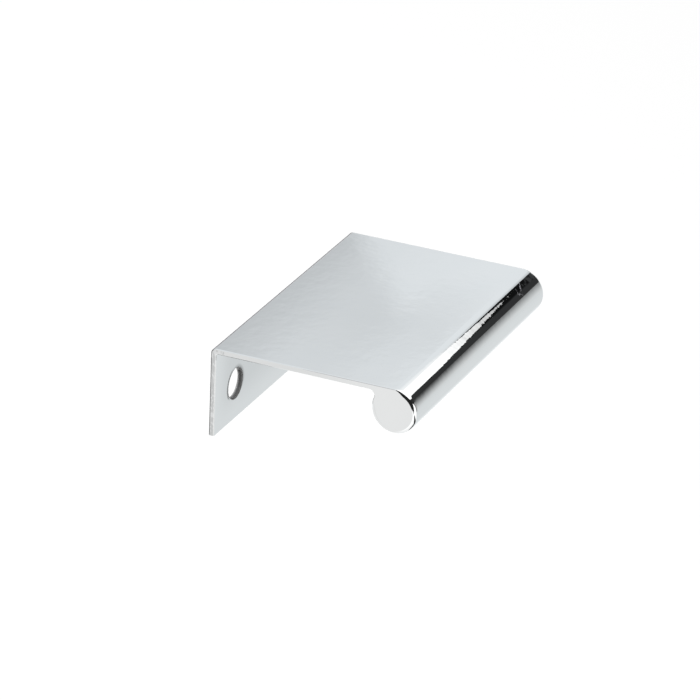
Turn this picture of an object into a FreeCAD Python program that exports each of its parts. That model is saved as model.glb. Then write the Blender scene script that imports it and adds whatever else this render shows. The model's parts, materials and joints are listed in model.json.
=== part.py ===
import FreeCAD, Part
import math
import os

os.makedirs("parts", exist_ok=True)

# Tab pull made in one piece: a thin shelf plate, a screw flange turned down
# along its back edge, and a solid round finger bar along its front edge.
# Millimetres. The origin is midway between the two screw holes, on the
# flange's back face. +X runs along the bar, -Y comes out to the front,
# +Z is up.

# Overall sizes
LENGTH = 45.0
PROJECTION = 30.0
FLANGE_HEIGHT = 13.0
WALL = 0.8
BAR_DIAMETER = 6.5

# Screw holes, with their line measured down from the top of the plate
HOLE_SPACING = 32.0
HOLE_DIAMETER = 4.3
HOLE_DROP = 7.7
HOLE_MOUTH_ROUND = 0.25
DRILL_PAST = 1.0

# Radii of the section
BEND_OUTSIDE = 0.7
BEND_INSIDE = 0.2
WEB_FILLET = 0.8
FLANGE_TIP_ROUND = 0.2

# Polished rounding round the two ends: fine on the sheet, fuller on the bar
SHEET_END_ROUND = 0.15
BAR_END_ROUND = 0.6
BAR_BLEND_DEGREES = 30.0

# A rounding never takes more than this share of the wall that it sits on, and
# the ends' rounding stays smaller than the tip's
WALL_SHARE = 0.45
TIP_SHARE = 0.75
TIP_ROUND = min(FLANGE_TIP_ROUND, WALL_SHARE * WALL)
SHEET_ROUND = min(SHEET_END_ROUND, TIP_SHARE * TIP_ROUND)
MOUTH_ROUND = min(HOLE_MOUTH_ROUND, WALL_SHARE * WALL)

# Places that follow from the sizes, in the section's plane (Y, Z)
BAR_RADIUS = BAR_DIAMETER / 2
PLATE_TOP = HOLE_DROP
PLATE_UNDERSIDE = PLATE_TOP - WALL
FLANGE_FOOT = PLATE_TOP - FLANGE_HEIGHT
FLANGE_FRONT = -WALL
BAR_CENTRE = (BAR_RADIUS - PROJECTION, PLATE_TOP - BAR_RADIUS)

# Places closer than this are the same
SAME_PLACE = 0.0001


def section_point(y, z):
    """A point of the section, on the plane of the pull's left end."""
    return FreeCAD.Vector(-LENGTH / 2, y, z)


def round_from(centre, radius, degrees):
    """The section point at an angle on a round; 0 points back, 90 up."""
    angle = math.radians(degrees)
    return section_point(centre[0] + radius * math.cos(angle),
                         centre[1] + radius * math.sin(angle))


def arc(centre, radius, start, end):
    """A round of the section between two angles in degrees."""
    return Part.Arc(round_from(centre, radius, start),
                    round_from(centre, radius, (start + end) / 2),
                    round_from(centre, radius, end)).toShape()


def line(start, end):
    return Part.LineSegment(start, end).toShape()


def joined(pieces):
    """Closes the gaps between consecutive rounds with straight runs."""
    edges = []
    for piece, following in zip(pieces, pieces[1:] + pieces[:1]):
        edges.append(piece)
        start = piece.valueAt(piece.LastParameter)
        end = following.valueAt(following.FirstParameter)
        if start.distanceToPoint(end) > SAME_PLACE:
            edges.append(line(start, end))
    return edges


def section():
    """The section as one closed face, walked from the plate's top round the
    bend, the flange, the underside and the bar, back to the plate's top."""
    bend_out = (-BEND_OUTSIDE, PLATE_TOP - BEND_OUTSIDE)
    bend_in = (FLANGE_FRONT - BEND_INSIDE, PLATE_UNDERSIDE - BEND_INSIDE)
    tip_back = (-TIP_ROUND, FLANGE_FOOT + TIP_ROUND)
    tip_front = (FLANGE_FRONT + TIP_ROUND, FLANGE_FOOT + TIP_ROUND)

    # The web fillet touches the underside and the back of the bar
    web_z = PLATE_UNDERSIDE - WEB_FILLET
    rise = web_z - BAR_CENTRE[1]
    reach = math.sqrt((BAR_RADIUS + WEB_FILLET) ** 2 - rise ** 2)
    web = (BAR_CENTRE[0] + reach, web_z)
    web_angle = math.degrees(math.atan2(rise, reach))

    # The bar's round runs from the fillet, under and round the front, to the
    # plate's top, and is split where its end rounding reaches full size
    low_split = web_angle - BAR_BLEND_DEGREES
    high_split = 90 + BAR_BLEND_DEGREES - 360
    pieces = [
        arc(bend_out, BEND_OUTSIDE, 90, 0),
        arc(tip_back, TIP_ROUND, 0, -90),
        arc(tip_front, TIP_ROUND, -90, -180),
        arc(bend_in, BEND_INSIDE, 0, 90),
        arc(web, WEB_FILLET, 90, 180 + web_angle),
        arc(BAR_CENTRE, BAR_RADIUS, web_angle, low_split),
        arc(BAR_CENTRE, BAR_RADIUS, low_split, high_split),
        arc(BAR_CENTRE, BAR_RADIUS, high_split, 90 - 360),
    ]
    return Part.Face(Part.Wire(joined(pieces)))


def end_round(point):
    """The end rounding at a corner of the section: the bar's at the two corners
    that split the bar's round, and the sheet's at all the others. Along an edge
    between two corners it grows smoothly from the one to the other."""
    y = point.y - BAR_CENTRE[0]
    z = point.z - BAR_CENTRE[1]
    on_bar = abs(math.hypot(y, z) - BAR_RADIUS) < SAME_PLACE
    low_or_front = z < 0 or y < -SAME_PLACE
    return BAR_END_ROUND if on_bar and low_or_front else SHEET_ROUND


def round_ends(profile):
    """Rounds the edges of both end faces, each with the radius of its place."""
    document = FreeCAD.newDocument("pull")
    base = document.addObject("Part::Feature", "profile")
    base.Shape = profile
    rounded = document.addObject("Part::Fillet", "rounded_ends")
    rounded.Base = base
    chosen = []
    for number, edge in enumerate(profile.Edges, start=1):
        if edge.BoundBox.XLength > SAME_PLACE:
            continue
        first = edge.valueAt(edge.FirstParameter)
        last = edge.valueAt(edge.LastParameter)
        chosen.append((number, end_round(first), end_round(last)))
    rounded.Edges = chosen
    document.recompute()
    return rounded.Shape.Solids[0]


def drill(body):
    """Drills both screw holes and rounds their front mouths."""
    through = FreeCAD.Vector(0, 1, 0)
    front = FLANGE_FRONT - DRILL_PAST
    for x in (-HOLE_SPACING / 2, HOLE_SPACING / 2):
        start = FreeCAD.Vector(x, front, 0)
        body = body.cut(Part.makeCylinder(HOLE_DIAMETER / 2, DRILL_PAST - front, start, through))
    mouths = []
    for edge in body.Edges:
        if not isinstance(edge.Curve, Part.Circle):
            continue
        faces_front = through.isParallel(edge.Curve.Axis, SAME_PLACE)
        if faces_front and abs(edge.Curve.Center.y - FLANGE_FRONT) < SAME_PLACE:
            mouths.append(edge)
    return body.makeFillet(MOUTH_ROUND, mouths)


tab_pull = drill(round_ends(section().extrude(FreeCAD.Vector(LENGTH, 0, 0))))
tab_pull.exportStep("parts/tab_pull.step")
box = tab_pull.BoundBox
print("tab_pull", tab_pull.isValid(), len(tab_pull.Solids), "solid", round(tab_pull.Volume, 2), "mm3")
print("X %.3f %.3f  Y %.3f %.3f  Z %.3f %.3f" % (box.XMin, box.XMax, box.YMin, box.YMax, box.ZMin, box.ZMax))
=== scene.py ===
import json
import math
from typing import NamedTuple

import bmesh
import bpy
from bmesh.types import BMEdge, BMVert
from mathutils import Matrix, Vector


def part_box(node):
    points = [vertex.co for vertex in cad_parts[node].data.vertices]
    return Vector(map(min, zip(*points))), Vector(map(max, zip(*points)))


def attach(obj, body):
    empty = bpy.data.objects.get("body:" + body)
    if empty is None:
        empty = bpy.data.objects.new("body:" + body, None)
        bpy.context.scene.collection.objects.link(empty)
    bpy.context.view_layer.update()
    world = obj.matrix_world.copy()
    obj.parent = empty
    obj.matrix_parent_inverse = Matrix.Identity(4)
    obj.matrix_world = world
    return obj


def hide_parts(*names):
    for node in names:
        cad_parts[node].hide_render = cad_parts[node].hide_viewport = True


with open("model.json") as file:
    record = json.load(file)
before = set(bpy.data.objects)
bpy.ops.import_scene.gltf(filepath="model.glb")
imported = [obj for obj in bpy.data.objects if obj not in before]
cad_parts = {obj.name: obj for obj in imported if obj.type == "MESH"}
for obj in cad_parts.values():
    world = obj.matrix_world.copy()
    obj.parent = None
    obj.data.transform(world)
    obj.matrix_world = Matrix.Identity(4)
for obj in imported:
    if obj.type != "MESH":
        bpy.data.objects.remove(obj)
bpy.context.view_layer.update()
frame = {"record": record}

# The pull is one piece of polished chrome: a thin shelf plate, a screw flange
# turned down at the back and a solid round finger bar along the front.
# Metres. +X runs along the bar, -Y comes out to the front, +Z is up.
MM = 0.001
PULL = "tab_pull"
SLOT = "polished_chrome"

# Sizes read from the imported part
pull_low, pull_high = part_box(PULL)
HALF_LENGTH = pull_high.x
FRONT = pull_low.y
PLATE_TOP = pull_high.z
FLANGE_FOOT = pull_low.z
SCREWS = next(mount for mount in frame["record"]["mounts"] if mount["name"] == "screws")["dims"]
HOLE_PLACE = SCREWS["spacing_x_mm"] / 2 * MM
HOLE_RADIUS = SCREWS["hole_r_mm"] * MM

# Sizes of the section that the pull's box doesn't give
WALL = 0.8 * MM
BAR_RADIUS = 3.25 * MM
BEND_OUTSIDE = 0.7 * MM
BEND_INSIDE = 0.2 * MM
WEB_FILLET = 0.8 * MM
TIP_ROUND = 0.2 * MM
PLATE_UNDERSIDE = PLATE_TOP - WALL

# The rounding round both ends: fine on the sheet, fuller on the bar, and blended
# over the first and last degrees of the bar's round
SHEET_END_ROUND = 0.15 * MM
BAR_END_ROUND = 0.6 * MM
BAR_BLEND_DEGREES = 30.0

# The bar's round ends at the plate's top. It starts at the web fillet, which
# touches the plate's underside and the back of the bar.
BAR_CENTRE = Vector((0, FRONT + BAR_RADIUS, PLATE_TOP - BAR_RADIUS))
BAR_END_ANGLE = 90 - 360
WEB_DROP = PLATE_UNDERSIDE - WEB_FILLET - BAR_CENTRE.z
WEB_REACH = math.sqrt((BAR_RADIUS + WEB_FILLET) ** 2 - WEB_DROP ** 2)
WEB_CENTRE = BAR_CENTRE + Vector((0, WEB_REACH, WEB_DROP))
WEB_ANGLE = math.degrees(math.atan2(WEB_DROP, WEB_REACH))

# The screw holes' mouth and back edge, and half the flat square round each hole
MOUTH_ROUND = 0.25 * MM
BACK_ROUND = 0.05 * MM
HOLE_PATCH = 3.4 * MM

# How finely the rounds are divided, and the narrow flats beside them that keep
# their shading off the flat faces
DEGREES_PER_STEP = 2.0
EDGE_DEGREES_PER_STEP = 15.0
END_RINGS = 12
HOLE_STEPS = 96
END_SUPPORT = 0.05 * MM
HOLE_SUPPORT = 0.1 * MM

# Vertices closer than this are the same
SAME_PLACE = 0.0002 * MM

# The chrome: its two tints, its tint on the back, and the painted shade that darkens
# it at the holes' mouths and in the flange's inner corner
CHROME = (0.763, 0.775, 0.776, 1.0)
PALE_CHROME = (0.778, 0.786, 0.785, 1.0)
BACK_CHROME = (0.68, 0.69, 0.69, 1.0)
MOUTH_SHADE = (0.12, 0.12, 0.125, 1.0)
CORNER_SHADE = (0.02, 0.02, 0.02, 1.0)
CLOUD_SCALE = 140.0
WAVE_SCALE = 600.0
WAVE_DEPTH = 0.006 * MM
POLISHED = 0.015
UNPOLISHED = 0.2

# Camera, at the photograph's viewing angle
CAMERA_LENS = 232.44
CAMERA_CLIP = 0.01
CAMERA_PLACE = Vector((-518.13, -232.32, 260.29)) * MM
CAMERA_AZIMUTH = -66.825
CAMERA_ELEVATION = 24.735
CAMERA_ROLL = 2.436

# The floor, the light all round and the lamp
FLOOR_HEIGHT = -0.12
FLOOR_REACH = 6.0
FLOOR_PAPER = (0.9, 0.9, 0.9, 1.0)
FLOOR_GLOW = 0.7
LIGHT_ALL_ROUND = (0.35, 0.35, 0.35, 1.0)
LAMP_PLACE = Vector((-1.25, 1.25, 1.77))
LAMP_WIDTH = 0.6
LAMP_POWER = 85.0

# Colours. The cards shine at one strength, and their colour takes it down.
WHITE = (1.0, 1.0, 1.0, 1.0)
BLACK = (0.0, 0.0, 0.0, 1.0)
CARD_STRENGTH = 1.5
DARK = (0.013, 0.013, 0.013, 1.0)
DIM = (0.20, 0.195, 0.21, 1.0)
MARGIN_GREY = (0.43, 0.43, 0.44, 1.0)

# Inputs of Blender's Mix node for two colours, and its result
MIX_SHARE, MIX_FIRST, MIX_SECOND, MIX_RESULT = 0, 6, 7, 2


class Wire:
    """An output socket of a node tree, for use in plain arithmetic. The first
    wire of a tree has no socket, and only starts the others."""

    def __init__(self, tree, socket=None):
        self.tree = tree
        self.socket = socket

    def node(self, kind, settings=None, sockets=None, output=0):
        """Adds a node to the tree: its settings first, then its inputs."""
        made = self.tree.nodes.new(kind)
        for name, value in (settings or {}).items():
            if name == "stops":
                set_stops(made.color_ramp, value)
            else:
                setattr(made, name, value)
        for name, value in (sockets or {}).items():
            if isinstance(value, Wire):
                self.tree.links.new(value.socket, made.inputs[name])
            else:
                made.inputs[name].default_value = value
        return Wire(self.tree, made.outputs[output] if made.outputs else None)

    def sibling(self, output):
        """Another output of the same node."""
        return Wire(self.tree, self.socket.node.outputs[output])

    def maths(self, operation, first, second=0.0):
        return self.node("ShaderNodeMath", {"operation": operation}, {0: first, 1: second})

    def __add__(self, other):
        return self.maths("ADD", self, other)

    def __radd__(self, other):
        return self.maths("ADD", other, self)

    def __sub__(self, other):
        return self.maths("SUBTRACT", self, other)

    def __rsub__(self, other):
        return self.maths("SUBTRACT", other, self)

    def __mul__(self, other):
        return self.maths("MULTIPLY", self, other)

    def __rmul__(self, other):
        return self.maths("MULTIPLY", other, self)

    def __abs__(self):
        return self.maths("ABSOLUTE", self)

    def root(self):
        return self.maths("SQRT", self)

    def larger(self, other):
        return self.maths("MAXIMUM", self, other)

    def rise(self, low, high):
        """0 at low and 1 at high, smooth in between. Low may be the larger."""
        return self.node("ShaderNodeMapRange", {"interpolation_type": "SMOOTHSTEP"},
                         {"Value": self, "From Min": low, "From Max": high})

    def within(self, low, high, soft):
        """1 from low to high, and 0 outside by the soft width."""
        return self.rise(low - soft, low) * self.rise(high + soft, high)

    def ramp(self, low, high, stops):
        """A grey that follows stops of (place, grey), spread from low to high."""
        share = self.node("ShaderNodeMapRange", None,
                          {"Value": self, "From Min": low, "From Max": high})
        return share.node("ShaderNodeValToRGB", {"stops": stops}, {"Fac": share})

    def mix(self, first, second):
        """From the first colour to the second as this goes from 0 to 1."""
        return self.node("ShaderNodeMix", {"data_type": "RGBA"},
                         {MIX_SHARE: self, MIX_FIRST: first, MIX_SECOND: second}, MIX_RESULT)

    def mix_shaders(self, first, second):
        return self.node("ShaderNodeMixShader", None, {0: self, 1: first, 2: second})

    def lit(self, tint=WHITE):
        """A card's colour where its light is at this level, 1 for white paper."""
        return (self * (1 / CARD_STRENGTH)).mix(BLACK, tint)


def set_stops(ramp, stops):
    while len(ramp.elements) < len(stops):
        ramp.elements.new(1.0)
    for element, (place, grey) in zip(ramp.elements, stops):
        element.position = place
        element.color = (grey, grey, grey, 1.0)


def new_material(name):
    """An empty material, and the first wire of its nodes."""
    made = bpy.data.materials.new(name)
    made.use_nodes = True
    made.node_tree.nodes.clear()
    return made, Wire(made.node_tree)


def object_axes(start):
    """The surface point's X, Y and Z in metres."""
    place = start.node("ShaderNodeTexCoord", output="Object")
    x = start.node("ShaderNodeSeparateXYZ", None, {"Vector": place}, output="X")
    return x, x.sibling("Y"), x.sibling("Z")


def link_object(name, data):
    made = bpy.data.objects.new(name, data)
    bpy.context.scene.collection.objects.link(made)
    return made


def object_from(bm, name, finish):
    """Turns a bmesh into an object with one material, smooth all over."""
    mesh = bpy.data.meshes.new(name)
    for face in bm.faces:
        face.smooth = True
    bm.to_mesh(mesh)
    bm.free()
    mesh.materials.append(finish)
    return link_object(name, mesh)


def only(kind, parts):
    """The vertices or the edges among an operator's results."""
    return [part for part in parts if isinstance(part, kind)]


def turn_out(bm, start, centre, axis, degrees, steps):
    """A vertex and its copies turned about an axis, joined by edges."""
    run = bmesh.ops.create_vert(bm, co=start)["vert"]
    for step in range(steps):
        turned = bmesh.ops.spin(bm, geom=run[-1:], cent=centre, axis=axis, steps=1,
                                angle=math.radians(degrees / steps))
        run += only(BMVert, turned["geom_last"])
    return run


def draw_out(bm, edges, step):
    """Extrudes a run of edges and moves each new vertex by its own step."""
    made = bmesh.ops.extrude_edge_only(bm, edges=edges)["geom"]
    for vert in only(BMVert, made):
        vert.co += step(vert)
    return only(BMEdge, made)


# The pull's section, in the plane of Y and Z

def on_round(centre, radius, degrees):
    """A point of a round of the section; 0 degrees is back and 90 is up."""
    angle = math.radians(degrees)
    return centre + radius * Vector((0, math.cos(angle), math.sin(angle)))


def sheet_end_round(degrees):
    return SHEET_END_ROUND


def bar_end_round(degrees):
    """The sheet's rounding where the bar's round starts and ends, and the bar's own
    once the blend is past."""
    share = min(1.0, min(WEB_ANGLE - degrees, degrees - BAR_END_ANGLE) / BAR_BLEND_DEGREES)
    smooth = share * share * (3 - 2 * share)
    return SHEET_END_ROUND + (BAR_END_ROUND - SHEET_END_ROUND) * smooth


class Round(NamedTuple):
    """A round of the section between two angles. Side is 1 where the metal is
    inside the round and -1 where it is outside. End_round gives the rounding
    of the pull's end by angle."""
    centre: Vector
    radius: float
    first: float
    last: float
    side: int = 1
    end_round: object = sheet_end_round


def corner(y, z, facing):
    """A point on one side of the flange, where a hole's flat square starts or ends."""
    return Round(Vector((0, y, z)), 0, facing, facing)


def section_rounds():
    """The section's rounds, from the plate's top round the bend, the flange, the
    underside and the bar."""
    bend_out = Vector((0, -BEND_OUTSIDE, PLATE_TOP - BEND_OUTSIDE))
    bend_in = Vector((0, -WALL - BEND_INSIDE, PLATE_UNDERSIDE - BEND_INSIDE))
    tip_back = Vector((0, -TIP_ROUND, FLANGE_FOOT + TIP_ROUND))
    tip_front = Vector((0, TIP_ROUND - WALL, FLANGE_FOOT + TIP_ROUND))
    return [
        Round(bend_out, BEND_OUTSIDE, 90, 0),
        corner(0, HOLE_PATCH, 0),
        corner(0, -HOLE_PATCH, 0),
        Round(tip_back, TIP_ROUND, 0, -90),
        Round(tip_front, TIP_ROUND, -90, -180),
        corner(-WALL, -HOLE_PATCH, 180),
        corner(-WALL, HOLE_PATCH, 180),
        Round(bend_in, BEND_INSIDE, 0, 90, side=-1),
        Round(WEB_CENTRE, WEB_FILLET, 90, 180 + WEB_ANGLE, side=-1),
        Round(BAR_CENTRE, BAR_RADIUS, WEB_ANGLE, BAR_END_ANGLE, end_round=bar_end_round),
    ]


def draw_section(bm, outward, end_round):
    """Draws the closed section at the pull's middle: its rounds, and straight
    edges that join them. Each vertex keeps its outward direction and rounding."""
    runs = []
    for piece in section_rounds():
        turn = piece.last - piece.first
        steps = round(abs(turn) / DEGREES_PER_STEP)
        start = on_round(piece.centre, piece.radius, piece.first)
        run = turn_out(bm, start, piece.centre, (1, 0, 0), turn, steps)
        for place, vert in enumerate(run):
            degrees = piece.first + turn * place / max(steps, 1)
            vert[outward] = piece.side * on_round(Vector(), 1, degrees)
            vert[end_round] = piece.end_round(degrees)
        runs.append(run)
    for run, following in zip(runs, runs[1:] + runs[:1]):
        bm.edges.new((run[-1], following[0]))
    bmesh.ops.remove_doubles(bm, verts=bm.verts, dist=SAME_PLACE)
    return bm.edges[:]


def draw_end(bm, ring, outward, end_round):
    """Draws the section on over the rounded end, ring by ring, and closes it."""
    along = Vector((1, 0, 0))
    for step in range(END_RINGS):
        start = math.pi / 2 * step / END_RINGS
        end = math.pi / 2 * (step + 1) / END_RINGS
        onward = along * (math.sin(end) - math.sin(start))
        inward = math.cos(end) - math.cos(start)
        ring = draw_out(bm, ring, lambda vert: vert[end_round] * (onward + inward * vert[outward]))
    bmesh.ops.contextual_create(bm, geom=ring)


def draw_half(bm):
    """The pull's right half without its hole: the section drawn out from the
    middle, past the square that the hole takes, to the rounded end."""
    outward = bm.verts.layers.float_vector.new("outward")
    end_round = bm.verts.layers.float.new("end_round")
    along = Vector((1, 0, 0))

    def to_support(vert):
        return along * (HALF_LENGTH - vert[end_round] - END_SUPPORT - vert.co.x)

    ring = draw_section(bm, outward, end_round)
    ring = draw_out(bm, ring, lambda vert: along * (HOLE_PLACE - HOLE_PATCH))
    ring = draw_out(bm, ring, lambda vert: along * 2 * HOLE_PATCH)
    ring = draw_out(bm, ring, to_support)
    ring = draw_out(bm, ring, lambda vert: along * END_SUPPORT)
    draw_end(bm, ring, outward, end_round)


def open_square(bm, middle):
    """Opens the flat square round a hole, and divides its border as the hole is."""
    square = min(bm.faces, key=lambda face: (face.calc_center_bounds() - middle).length)
    border = square.edges[:]
    bmesh.ops.delete(bm, geom=[square], context="FACES_ONLY")
    bmesh.ops.subdivide_edges(bm, edges=border, cuts=HOLE_STEPS // 4 - 1)


def draw_hole_profile(bm, axis):
    """Draws the hole's profile: a narrow flat, the mouth's round, the straight wall,
    the back edge's round and another narrow flat. Returns its edges and vertices."""
    kept = set(bm.edges)
    steps = round(90 / EDGE_DEGREES_PER_STEP)

    def quarter_round(centre, start):
        return turn_out(bm, centre + start, centre, (0, 0, 1), -90, steps)

    mouth = quarter_round(axis + Vector((HOLE_RADIUS + MOUTH_ROUND, MOUTH_ROUND - WALL, 0)),
                          Vector((0, -MOUTH_ROUND, 0)))
    back = quarter_round(axis + Vector((HOLE_RADIUS + BACK_ROUND, -BACK_ROUND, 0)),
                         Vector((-BACK_ROUND, 0, 0)))
    bm.edges.new((mouth[-1], back[0]))
    support = Vector((HOLE_SUPPORT, 0, 0))
    flats = [bmesh.ops.create_vert(bm, co=vert.co + support)["vert"][0] for vert in (mouth[0], back[-1])]
    bm.edges.new((flats[0], mouth[0]))
    bm.edges.new((back[-1], flats[1]))
    return [edge for edge in bm.edges if edge not in kept] + mouth + back + flats


def bridge_to_square(bm, plane):
    """Joins the hole to the open square on the flange's side at that Y."""
    def on_rim(vert):
        return abs(vert.co.y - plane) < SAME_PLACE and vert.co.x > HOLE_PLACE / 2

    rims = [edge for edge in bm.edges if edge.is_boundary and all(map(on_rim, edge.verts))]
    bmesh.ops.bridge_loops(bm, edges=rims)


def draw_hole(bm):
    """The hole's wall with its rounded mouth and back edge, spun about its axis and
    joined to the flange's front and back."""
    axis = Vector((HOLE_PLACE, 0, 0))
    planes = (-WALL, 0.0)
    for plane in planes:
        open_square(bm, axis + Vector((0, plane, 0)))
    profile = draw_hole_profile(bm, axis)
    bmesh.ops.spin(bm, geom=profile, cent=axis, axis=(0, 1, 0), angle=math.tau,
                   steps=HOLE_STEPS, use_merge=True)
    for plane in planes:
        bridge_to_square(bm, plane)


def make_pull():
    """The whole pull: its right half and the half's mirror image."""
    bm = bmesh.new()
    draw_half(bm)
    draw_hole(bm)
    bmesh.ops.mirror(bm, geom=bm.verts[:] + bm.edges[:] + bm.faces[:], axis="X", merge_dist=SAME_PLACE)
    bmesh.ops.remove_doubles(bm, verts=bm.verts, dist=SAME_PLACE)
    bmesh.ops.recalc_face_normals(bm, faces=bm.faces)
    pull = object_from(bm, "polished_pull", polished_chrome())
    weighted = pull.modifiers.new("flat_faces_lead", "WEIGHTED_NORMAL")
    weighted.mode = "FACE_AREA"
    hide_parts(PULL)
    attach(pull, "root")


# The finish

def hole_shade_masks(x, y, z):
    """Where the screw holes are darkened with painted shade: their wall, with the outer
    side of the mouth, and a softer patch over the mouth's upper half. The flange's
    depth in Y keeps both off the bar."""
    outward = abs(x) - HOLE_PLACE
    from_axis = (outward * outward + z * z).root()
    on_flange = y.rise(-3 * WALL, -2 * WALL)
    at_front = on_flange * y.rise(-0.3 * WALL, -0.6 * WALL)

    def out_to(share):
        return HOLE_RADIUS + share * MOUTH_ROUND

    wall = from_axis.rise(out_to(0.9), out_to(0.4))
    outer_side = from_axis.rise(out_to(2.9), out_to(1.9))
    outer_side = 0.9 * outer_side * outward.rise(0.9 * MM, 1.9 * MM) * z.rise(-1.9 * MM, -1.0 * MM)
    upper_half = from_axis.rise(out_to(2.8), out_to(0.8))
    upper_half = upper_half * at_front * z.rise(-1.6 * MM, 0.2 * MM)
    return (wall * on_flange).larger(outer_side * at_front), upper_half


def inner_corner_shade(x, y, z):
    """Painted shade on the flange's front near its ends, up toward the plate's underside."""
    high_up = z.rise(-5.0 * MM, 0.5 * MM) * z.rise(PLATE_TOP - 0.5 * WALL, PLATE_TOP - WALL)
    return high_up * y.rise(-2 * WALL, -1.2 * WALL) * abs(x).rise(HALF_LENGTH, HALF_LENGTH - 5 * MM)


def polished_chrome():
    """Mirror-bright plate with the faint waviness of buffed metal. The back face and
    the screw holes are duller; the holes are also darkened with painted shade, and
    the flange's inner corner gets a little painted shade."""
    made, start = new_material(SLOT)
    x, y, z = object_axes(start)
    place = start.node("ShaderNodeTexCoord", output="Object")
    cloud = start.node("ShaderNodeTexNoise", None,
                       {"Vector": place, "Scale": CLOUD_SCALE, "Detail": 3.0})
    waves = start.node("ShaderNodeTexNoise", None,
                       {"Vector": place, "Scale": WAVE_SCALE, "Detail": 2.0})
    bump = start.node("ShaderNodeBump", None,
                      {"Strength": 1.0, "Distance": WAVE_DEPTH, "Height": waves})
    on_back = y.rise(-0.01 * MM, 0.0) * z.rise(PLATE_TOP - BEND_OUTSIDE, PLATE_TOP - 2 * BEND_OUTSIDE)
    # Painted shade in the holes' walls and on the mouths' outer sides, which are also rougher and less
    # metallic, and a softer painted shade over the mouths' upper halves
    hole_shade_and_dull, painted_mouth_shade = hole_shade_masks(x, y, z)
    # The grey of the holes' painted shade, darkest partway into the wall
    hole_shade_grey = y.ramp(-WALL, 0.0, [(0.0, 0.17), (0.3, 0.05), (0.6, 0.05), (1.0, 0.34)])

    tint = cloud.rise(0.2, 0.8).mix(CHROME, PALE_CHROME)
    # A little painted shade in the flange's inner corner
    tint = (0.13 * inner_corner_shade(x, y, z)).mix(tint, CORNER_SHADE)
    tint = on_back.mix(tint, BACK_CHROME)
    # Painted shade over the holes' mouths
    tint = (0.42 * painted_mouth_shade).mix(tint, MOUTH_SHADE)
    metal = start.node("ShaderNodeBsdfPrincipled", None, {
        "Base Color": hole_shade_and_dull.mix(tint, hole_shade_grey),
        "Metallic": 1.0 - 0.9 * hole_shade_and_dull,
        "Roughness": POLISHED + 0.01 * cloud + UNPOLISHED * on_back.larger(hole_shade_and_dull),
        "Normal": bump})
    start.node("ShaderNodeOutputMaterial", None, {"Surface": metal})
    return made


# The studio's floor and lights

def background_rays(start):
    """1 for the rays that show the background: the camera's, and those that metal
    or glass sends back."""
    path = start.node("ShaderNodeLightPath", output="Is Camera Ray")
    return path.larger(path.sibling("Is Glossy Ray")).larger(path.sibling("Is Transmission Ray"))


def add_floor():
    """A plain pale floor that shows white and keeps the pull's shadow."""
    made, start = new_material("pale_floor")
    paper = start.node("ShaderNodeBsdfDiffuse", None, {"Color": FLOOR_PAPER})
    glow = start.node("ShaderNodeEmission", None, {"Color": WHITE, "Strength": 1.0})
    seen = (background_rays(start) * FLOOR_GLOW).mix_shaders(paper, glow)
    start.node("ShaderNodeOutputMaterial", None, {"Surface": seen})
    bm = bmesh.new()
    bmesh.ops.create_grid(bm, x_segments=1, y_segments=1, size=FLOOR_REACH,
                          matrix=Matrix.Translation((0, 0, FLOOR_HEIGHT)))
    object_from(bm, "floor", made)


def add_world():
    """White where the background shows, and a soft grey light from all round."""
    world = bpy.data.worlds.new("studio")
    bpy.context.scene.world = world
    world.use_nodes = True
    world.node_tree.nodes.clear()
    start = Wire(world.node_tree)
    colour = background_rays(start).mix(LIGHT_ALL_ROUND, WHITE)
    shade = start.node("ShaderNodeBackground", None, {"Color": colour})
    start.node("ShaderNodeOutputWorld", None, {"Surface": shade})


def add_lamp():
    """One soft lamp from the back left, which gives the floor its shadow."""
    data = bpy.data.lights.new("soft_lamp", "AREA")
    data.shape = "DISK"
    data.size = LAMP_WIDTH
    data.energy = LAMP_POWER
    lamp = link_object("soft_lamp", data)
    lamp.location = LAMP_PLACE
    lamp.rotation_euler = LAMP_PLACE.to_track_quat("Z", "Y").to_euler()
    lamp.visible_glossy = False


# The cards, which only show in the chrome

def only_in_reflections(card):
    """Keeps a card out of every view and shadow but the chrome's reflections."""
    card.visible_camera = False
    card.visible_diffuse = False
    card.visible_transmission = False
    card.visible_shadow = False


def glowing(name, paint, cover=None):
    """A card's material. Paint gives its colour and, where the card isn't solid all
    over, cover gives how solid it is."""
    made, start = new_material(name)
    shade = start.node("ShaderNodeEmission", None, {"Color": paint(start), "Strength": CARD_STRENGTH})
    if cover:
        clear = start.node("ShaderNodeBsdfTransparent", None, {"Color": WHITE})
        shade = cover(start).mix_shaders(clear, shade)
    start.node("ShaderNodeOutputMaterial", None, {"Surface": shade})
    return made


def draw_path(bm, path):
    """Vertices at the path's points, and the edges from each to the next."""
    corners = [bmesh.ops.create_vert(bm, co=(x, y, 0))["vert"][0] for x, y in path]
    return [bm.edges.new(pair) for pair in zip(corners, corners[1:])]


def add_outlined(name, outline, finish, placed):
    """A flat card with the given outline, turned and moved by a matrix."""
    bm = bmesh.new()
    draw_path(bm, outline + outline[:1])
    bmesh.ops.remove_doubles(bm, verts=bm.verts, dist=SAME_PLACE)
    bmesh.ops.contextual_create(bm, geom=bm.edges)
    bmesh.ops.transform(bm, verts=bm.verts, matrix=placed)
    only_in_reflections(object_from(bm, name, finish))


def add_level_card(name, height, outline, paint, cover=None):
    """A card that lies flat at a height, its outline in X and Y."""
    add_outlined(name, outline, glowing(name, paint, cover), Matrix.Translation((0, 0, height)))


def add_upright_card(name, place, outline, paint):
    """A card that stands across the room at a place along X, its outline in Y and Z."""
    stood_up = Matrix(((0, 0, 1, 0), (1, 0, 0, 0), (0, 1, 0, 0), (0, 0, 0, 1)))
    add_outlined(name, outline, glowing(name, paint), Matrix.Translation((place, 0, 0)) @ stood_up)


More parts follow.
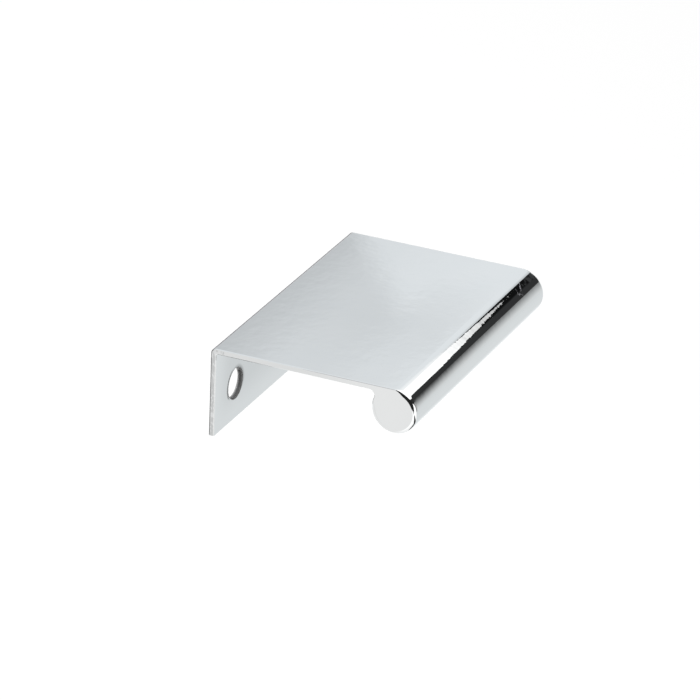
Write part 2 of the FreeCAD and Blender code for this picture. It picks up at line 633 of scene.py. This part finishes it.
def add_board(name, corners, paint):
    """A flat card between two corners that share one of X, Y and Z."""
    low, high = map(Vector, corners)
    half = (high - low) / 2
    bm = bmesh.new()
    bmesh.ops.create_grid(bm, x_segments=1, y_segments=1, size=1.0)
    if half.x == 0:
        bmesh.ops.rotate(bm, verts=bm.verts, matrix=Matrix.Rotation(math.pi / 2, 3, "Y"))
    if half.y == 0:
        bmesh.ops.rotate(bm, verts=bm.verts, matrix=Matrix.Rotation(math.pi / 2, 3, "X"))
    bmesh.ops.scale(bm, verts=bm.verts, vec=Vector((half.x or 1, half.y or 1, half.z or 1)))
    bmesh.ops.translate(bm, verts=bm.verts, vec=(low + high) / 2)
    only_in_reflections(object_from(bm, name, glowing(name, paint)))


def add_strip(name, height, path, paint, width):
    """A flat strip along a path in X and Y, with its width along X given by Y."""
    bm = bmesh.new()
    draw_out(bm, draw_path(bm, path), lambda vert: Vector((width(vert.co.y), 0, 0)))
    bmesh.ops.translate(bm, verts=bm.verts, vec=(0, 0, height))
    only_in_reflections(object_from(bm, name, glowing(name, paint)))


def plain(colour):
    """The paint of a card that has one colour all over."""
    return lambda start: colour


# The room: the ceiling card and the softbox above the pull, and three sides. The
# paints are given in metres, and in levels of light where 1 is white paper.
ROOM = 0.6
ROOM_TOP = 0.7
CEILING_HEIGHT = PLATE_TOP + 0.2
CEILING_OUTLINE = ((-ROOM, -0.020), (0.310, -0.020), (0.59, -0.078), (0.59, 0.7), (-ROOM, 0.7))
SOFTBOX_HEIGHT = PLATE_TOP + 0.195
SOFTBOX_OUTLINE = ((-0.25, -0.2540), (0.12, -0.2540), (0.33, -0.2250), (0.3745, -0.1975),
                   (0.389, -0.1960), (0.3794, -0.1815), (0.3743, -0.1733),
                   (0.372, -0.164), (0.3595, -0.1438), (0.3595, -0.135), (0.349, -0.116),
                   (0.347, -0.104), (0.3396, -0.081), (0.3400, -0.075),
                   (0.327, -0.058), (0.320, -0.0485), (0.311, -0.0375), (0.303, -0.0235),
                   (0.320, 0.08), (-0.25, 0.08))
FAR_SIDE = ((ROOM, -ROOM, FLOOR_HEIGHT), (ROOM, 0.1, ROOM_TOP))
FRONT_SIDE = ((-ROOM, -ROOM, FLOOR_HEIGHT), (ROOM, -ROOM, ROOM_TOP))
NEAR_SIDE = ((-ROOM, -ROOM, FLOOR_HEIGHT), (-ROOM, ROOM, ROOM_TOP))


def paint_ceiling(start):
    """The pale card over the plate. Its near part falls off toward the back in steps,
    its far part only a little, and both darken toward their front edge."""
    x, y, _ = object_axes(start)
    near = y.ramp(0.13, 0.19, [(0.0, 0.955), (0.1, 0.93), (0.18, 0.885), (0.25, 0.87),
                               (0.33, 0.825), (0.43, 0.80), (0.6, 0.80), (0.68, 0.776),
                               (0.78, 0.737), (0.85, 0.69), (0.95, 0.66)])
    near = near + 0.04 * x.rise(0.405, 0.370) * y.rise(0.176, 0.166) * y.rise(0.140, 0.150)
    far = 0.965 - 0.07 * y.rise(0.138, 0.182)
    veil = 0.10 * x.rise(0.447, 0.403) * y.rise(0.157, 0.148) * y.rise(0.130, 0.141)
    in_far = (x - 1.35 * (y - 0.160)).rise(0.412, 0.432)
    level = near * (1 - in_far) + in_far * (far - veil)
    level = level * (0.74 + 0.26 * y.rise(-0.022, 0.026))
    return level.lit((0.962, 1.0, 1.03, 1.0))


def past_crown(x, y):
    """X measured from the curve that the softbox and the flag change along. The
    curve reaches least far along X at its crown."""
    from_crown = y + 0.031
    return x - 3.9 * from_crown * from_crown


def paint_softbox(start):
    """The white softbox over the bar, which dims toward its far edge."""
    x, y, _ = object_axes(start)
    level = 1.45 - past_crown(x, y).rise(0.285, 0.345)
    return level.lit()


def cover_softbox(start):
    """Solid over the bar, and fading out where it reaches over the ceiling card."""
    x, y, _ = object_axes(start)
    cover = y.rise(0.070, -0.075) * x.rise(0.308, 0.294)
    return cover.larger(y.rise(-0.014, -0.022))


def paint_far_side(start):
    """The far side of the room: dark above a slanted edge, and turning pale
    from there to the floor."""
    _, y, z = object_axes(start)
    glow = (z - 0.95 * (y + 0.407)).ramp(-0.15, 0.20, [
        (0.0, 0.845), (0.15, 0.79), (0.30, 0.695), (0.457, 0.575), (0.609, 0.415), (0.769, 0.22),
        (0.851, 0.10), (0.93, 0.04)])
    dark = 0.008 + 0.03 * y.rise(-0.2, -0.28)
    level = (z + 0.556 * y).rise(-0.0392, -0.0432).mix(dark, glow)
    return level.lit((0.975, 1.0, 1.01, 1.0))


def paint_front_side(start):
    """The front side: bright low down, but for a dull stretch past the middle whose
    edge bends to the near side with height."""
    x, _, z = object_axes(start)
    low = z.rise(0.24, 0.20)
    up = z.larger(0.04) - 0.04
    dull = (x + 8.0 * up * up).rise(0.0, 0.04)
    level = 0.03 + low * (1.35 - 1.1 * dull + 0.5 * x.rise(0.36, 0.42))
    return level.lit()


def paint_near_side(start):
    """The near side, bright but for its upper front corner, and less so at the back."""
    _, y, z = object_axes(start)
    dark = y.rise(-0.30, -0.34) * z.rise(0.22, 0.26)
    level = 1.35 - 1.3 * dark - 0.38 * y.rise(0.10, 0.18)
    return level.lit()


def add_room():
    add_level_card("ceiling", CEILING_HEIGHT, CEILING_OUTLINE, paint_ceiling)
    add_level_card("softbox", SOFTBOX_HEIGHT, SOFTBOX_OUTLINE, paint_softbox, cover_softbox)
    add_board("far_side", FAR_SIDE, paint_far_side)
    add_board("front_side", FRONT_SIDE, paint_front_side)
    add_board("near_side", NEAR_SIDE, paint_near_side)


# The dark flag in front of the ceiling card, and the two wires that steady it
FLAG_OUTLINE = ((0.28, -0.0205), (0.310, -0.0205), (0.59, -0.0785), (0.59, -0.42), (0.28, -0.42))
WIRE_HEIGHT = PLATE_TOP + 0.008
WIRE_PATH = ((0.0313, -0.0281), (0.0315, -0.0305), (0.0320, -0.0320), (0.0342, -0.0353))
WIRE_WIDTH = 0.00022
CROSS_WIRE_PATH = ((0.0297, -0.0294), (0.0299, -0.0303), (0.0314, -0.0330), (0.0331, -0.0352),
                   (0.0374, -0.0388), (0.0500, -0.0478))
CROSS_WIRE_WIDTH = 0.00013
CROSS_WIRE_TIP_WIDTH = 0.00004
CROSS_WIRE_TIP_PLACE = -0.034


def paint_flag(start):
    """Blackest over the bar's middle, and a little greyer past its far curve and
    toward the front."""
    x, y, _ = object_axes(start)
    past = past_crown(x, y).rise(0.3515, 0.3545)
    grey = (0.046 * past).larger(0.031 * y.rise(-0.140, -0.195))
    return (0.007 + grey).lit((0.97, 1.0, 1.03, 1.0))


def wire_width(y):
    return WIRE_WIDTH


def cross_wire_width(y):
    return CROSS_WIRE_TIP_WIDTH if y > CROSS_WIRE_TIP_PLACE else CROSS_WIRE_WIDTH


def add_flag():
    add_level_card("flag", CEILING_HEIGHT, FLAG_OUTLINE, paint_flag)
    add_strip("flag_wire", WIRE_HEIGHT, WIRE_PATH, plain(DIM), wire_width)
    add_strip("cross_wire", WIRE_HEIGHT, CROSS_WIRE_PATH, plain(DIM), cross_wire_width)


# The dark doorway behind the camera's side and its grey margin, in Y and Z. The
# bar's rounded end shows them as dark arcs.
DOORWAY_PLACE = -0.16
DOORWAY_OUTLINE = ((0.0205, -0.055), (0.020, -0.030), (0.012, 0.0145), (0.006, 0.094), (-0.0065, 0.137),
                   (-0.023, 0.150), (-0.045, 0.1646), (-0.066, 0.1675), (-0.084, 0.158), (-0.116, 0.137),
                   (-0.139, 0.134), (-0.184, 0.150), (-0.245, 0.145), (-0.2356, 0.066), (-0.185, 0.027),
                   (-0.184, 0.0077), (-0.154, -0.0136), (-0.1356, -0.0295), (-0.1055, -0.0410),
                   (-0.088, -0.0470), (-0.072, -0.0570), (-0.063, -0.0500), (-0.065, -0.0400),
                   (-0.0377, -0.0410), (-0.0041, -0.0490), (0.0112, -0.0550))
MARGIN_OUTLINE = ((0.0225, -0.020), (0.040, -0.020), (0.041, 0.040), (0.050, 0.105), (0.070, 0.180),
                  (0.045, 0.180), (0.031, 0.100), (0.0235, 0.030))


def add_doorway():
    add_upright_card("doorway", DOORWAY_PLACE, DOORWAY_OUTLINE, plain(DARK))
    add_upright_card("doorway_margin", DOORWAY_PLACE, MARGIN_OUTLINE, plain(MARGIN_GREY))


# The table under the pull, and the patch of dusk on it that makes another arc
TABLE_HEIGHT = FLOOR_HEIGHT + 0.002
TABLE = ((-ROOM, -ROOM, TABLE_HEIGHT), (ROOM, ROOM, TABLE_HEIGHT))
DUSK_HEIGHT = TABLE_HEIGHT + 0.002
DUSK_OUTLINE = ((-0.2560, -0.1737), (-0.2152, -0.1589), (-0.1771, -0.1502), (-0.1397, -0.1438),
                (-0.1080, -0.1347), (-0.0717, -0.1269), (-0.0321, -0.1163), (-0.0346, -0.1018),
                (-0.0329, -0.0895), (-0.0276, -0.0787), (-0.0226, -0.0688), (-0.0035, -0.0588),
                (0.0217, -0.0423), (0.0500, -0.0337), (0.0381, -0.0499), (0.0377, -0.0590),
                (0.0378, -0.0689), (0.0428, -0.0783), (0.0446, -0.0902), (0.0474, -0.1038),
                (0.0421, -0.1227), (0.0266, -0.1475), (-0.0145, -0.1779), (-0.0866, -0.2008),
                (-0.1556, -0.2138), (-0.2181, -0.2292))


def paint_table(start):
    """The table as the chrome shows it: cool with a soft fall-off on the far side,
    bright in the near corner, and darkened with painted shade where the near ends of
    the plate and, more so, of the flange show it."""
    x, y, _ = object_axes(start)
    far = y.ramp(-0.40, 0.16, [(0.0, 0.812), (0.15, 0.838), (0.35, 0.864), (0.53, 0.864), (0.60, 0.842),
                               (0.64, 0.843), (0.68, 0.889), (0.73, 0.941), (0.79, 0.976), (1.0, 0.95)])
    near = 1.0 + y.rise(0.02, -0.02) * (0.14 + 0.2 * x.rise(-0.05, -0.13))
    # Painted shade on the table where the near ends of the plate and the flange show it
    at_plate = (y + 0.4275 * x).rise(-0.036, -0.018)
    at_flange = (y + 0.467 * x).within(-0.0113, -0.0098, 0.0003)
    dull = 0.09 * at_plate + 0.20 * at_flange
    near = near * (1 - dull * x.rise(-0.15, -0.21))
    far_side = x.rise(0.02, 0.10)
    level = near * (1 - far_side) + far_side * far
    return level.lit(far_side.mix(WHITE, (0.965, 1.0, 1.015, 1.0)))


def add_table():
    add_board("table", TABLE, paint_table)
    add_level_card("dusk", DUSK_HEIGHT, DUSK_OUTLINE, plain(DARK))


# Small cards close to the pull, which draw its thin lines: a dark card of painted
# shade under the plate's near end, two dark cards of painted shade behind the
# flange's near end and a pale line behind the plate
UNDER_PLATE_SHADE_HEIGHT = 0.0055
UNDER_PLATE_SHADE_OUTLINE = ((-0.02255, -0.0016), (-0.0237, -0.0022), (-0.0237, -0.0060), (-0.02255, -0.0095))
SHADE_BEHIND = ((-0.0290, 0.004, -0.0085), (-0.0228, 0.004, 0.009))
SHADE_BEHIND_LOW = ((-0.0228, 0.004, -0.0110), (-0.0135, 0.004, 0.0045))
LINE_BEHIND = ((-0.02, 0.05, -0.022), (0.20, 0.05, 0.028))


def add_small_cards():
    # Dark cards that put painted shade into the chrome's reflections at the near end
    add_level_card("under_plate_shade", UNDER_PLATE_SHADE_HEIGHT, UNDER_PLATE_SHADE_OUTLINE, plain(DARK))
    add_board("shade_behind", SHADE_BEHIND, plain(DARK))
    add_board("shade_behind_low", SHADE_BEHIND_LOW, plain(DARK))
    add_board("line_behind", LINE_BEHIND, plain(DIM))


def add_studio():
    add_world()
    add_floor()
    add_lamp()
    add_room()
    add_flag()
    add_doorway()
    add_table()
    add_small_cards()


def add_camera():
    data = bpy.data.cameras.new("camera")
    data.lens = CAMERA_LENS
    data.clip_start = CAMERA_CLIP
    camera = link_object("camera", data)
    turn = (Matrix.Rotation(math.radians(CAMERA_AZIMUTH), 4, "Z")
            @ Matrix.Rotation(math.radians(90 - CAMERA_ELEVATION), 4, "X")
            @ Matrix.Rotation(math.radians(CAMERA_ROLL), 4, "Z"))
    camera.matrix_world = Matrix.Translation(CAMERA_PLACE) @ turn
    bpy.context.scene.camera = camera


make_pull()
add_studio()
add_camera()
bpy.context.scene.view_settings.view_transform = "Standard"
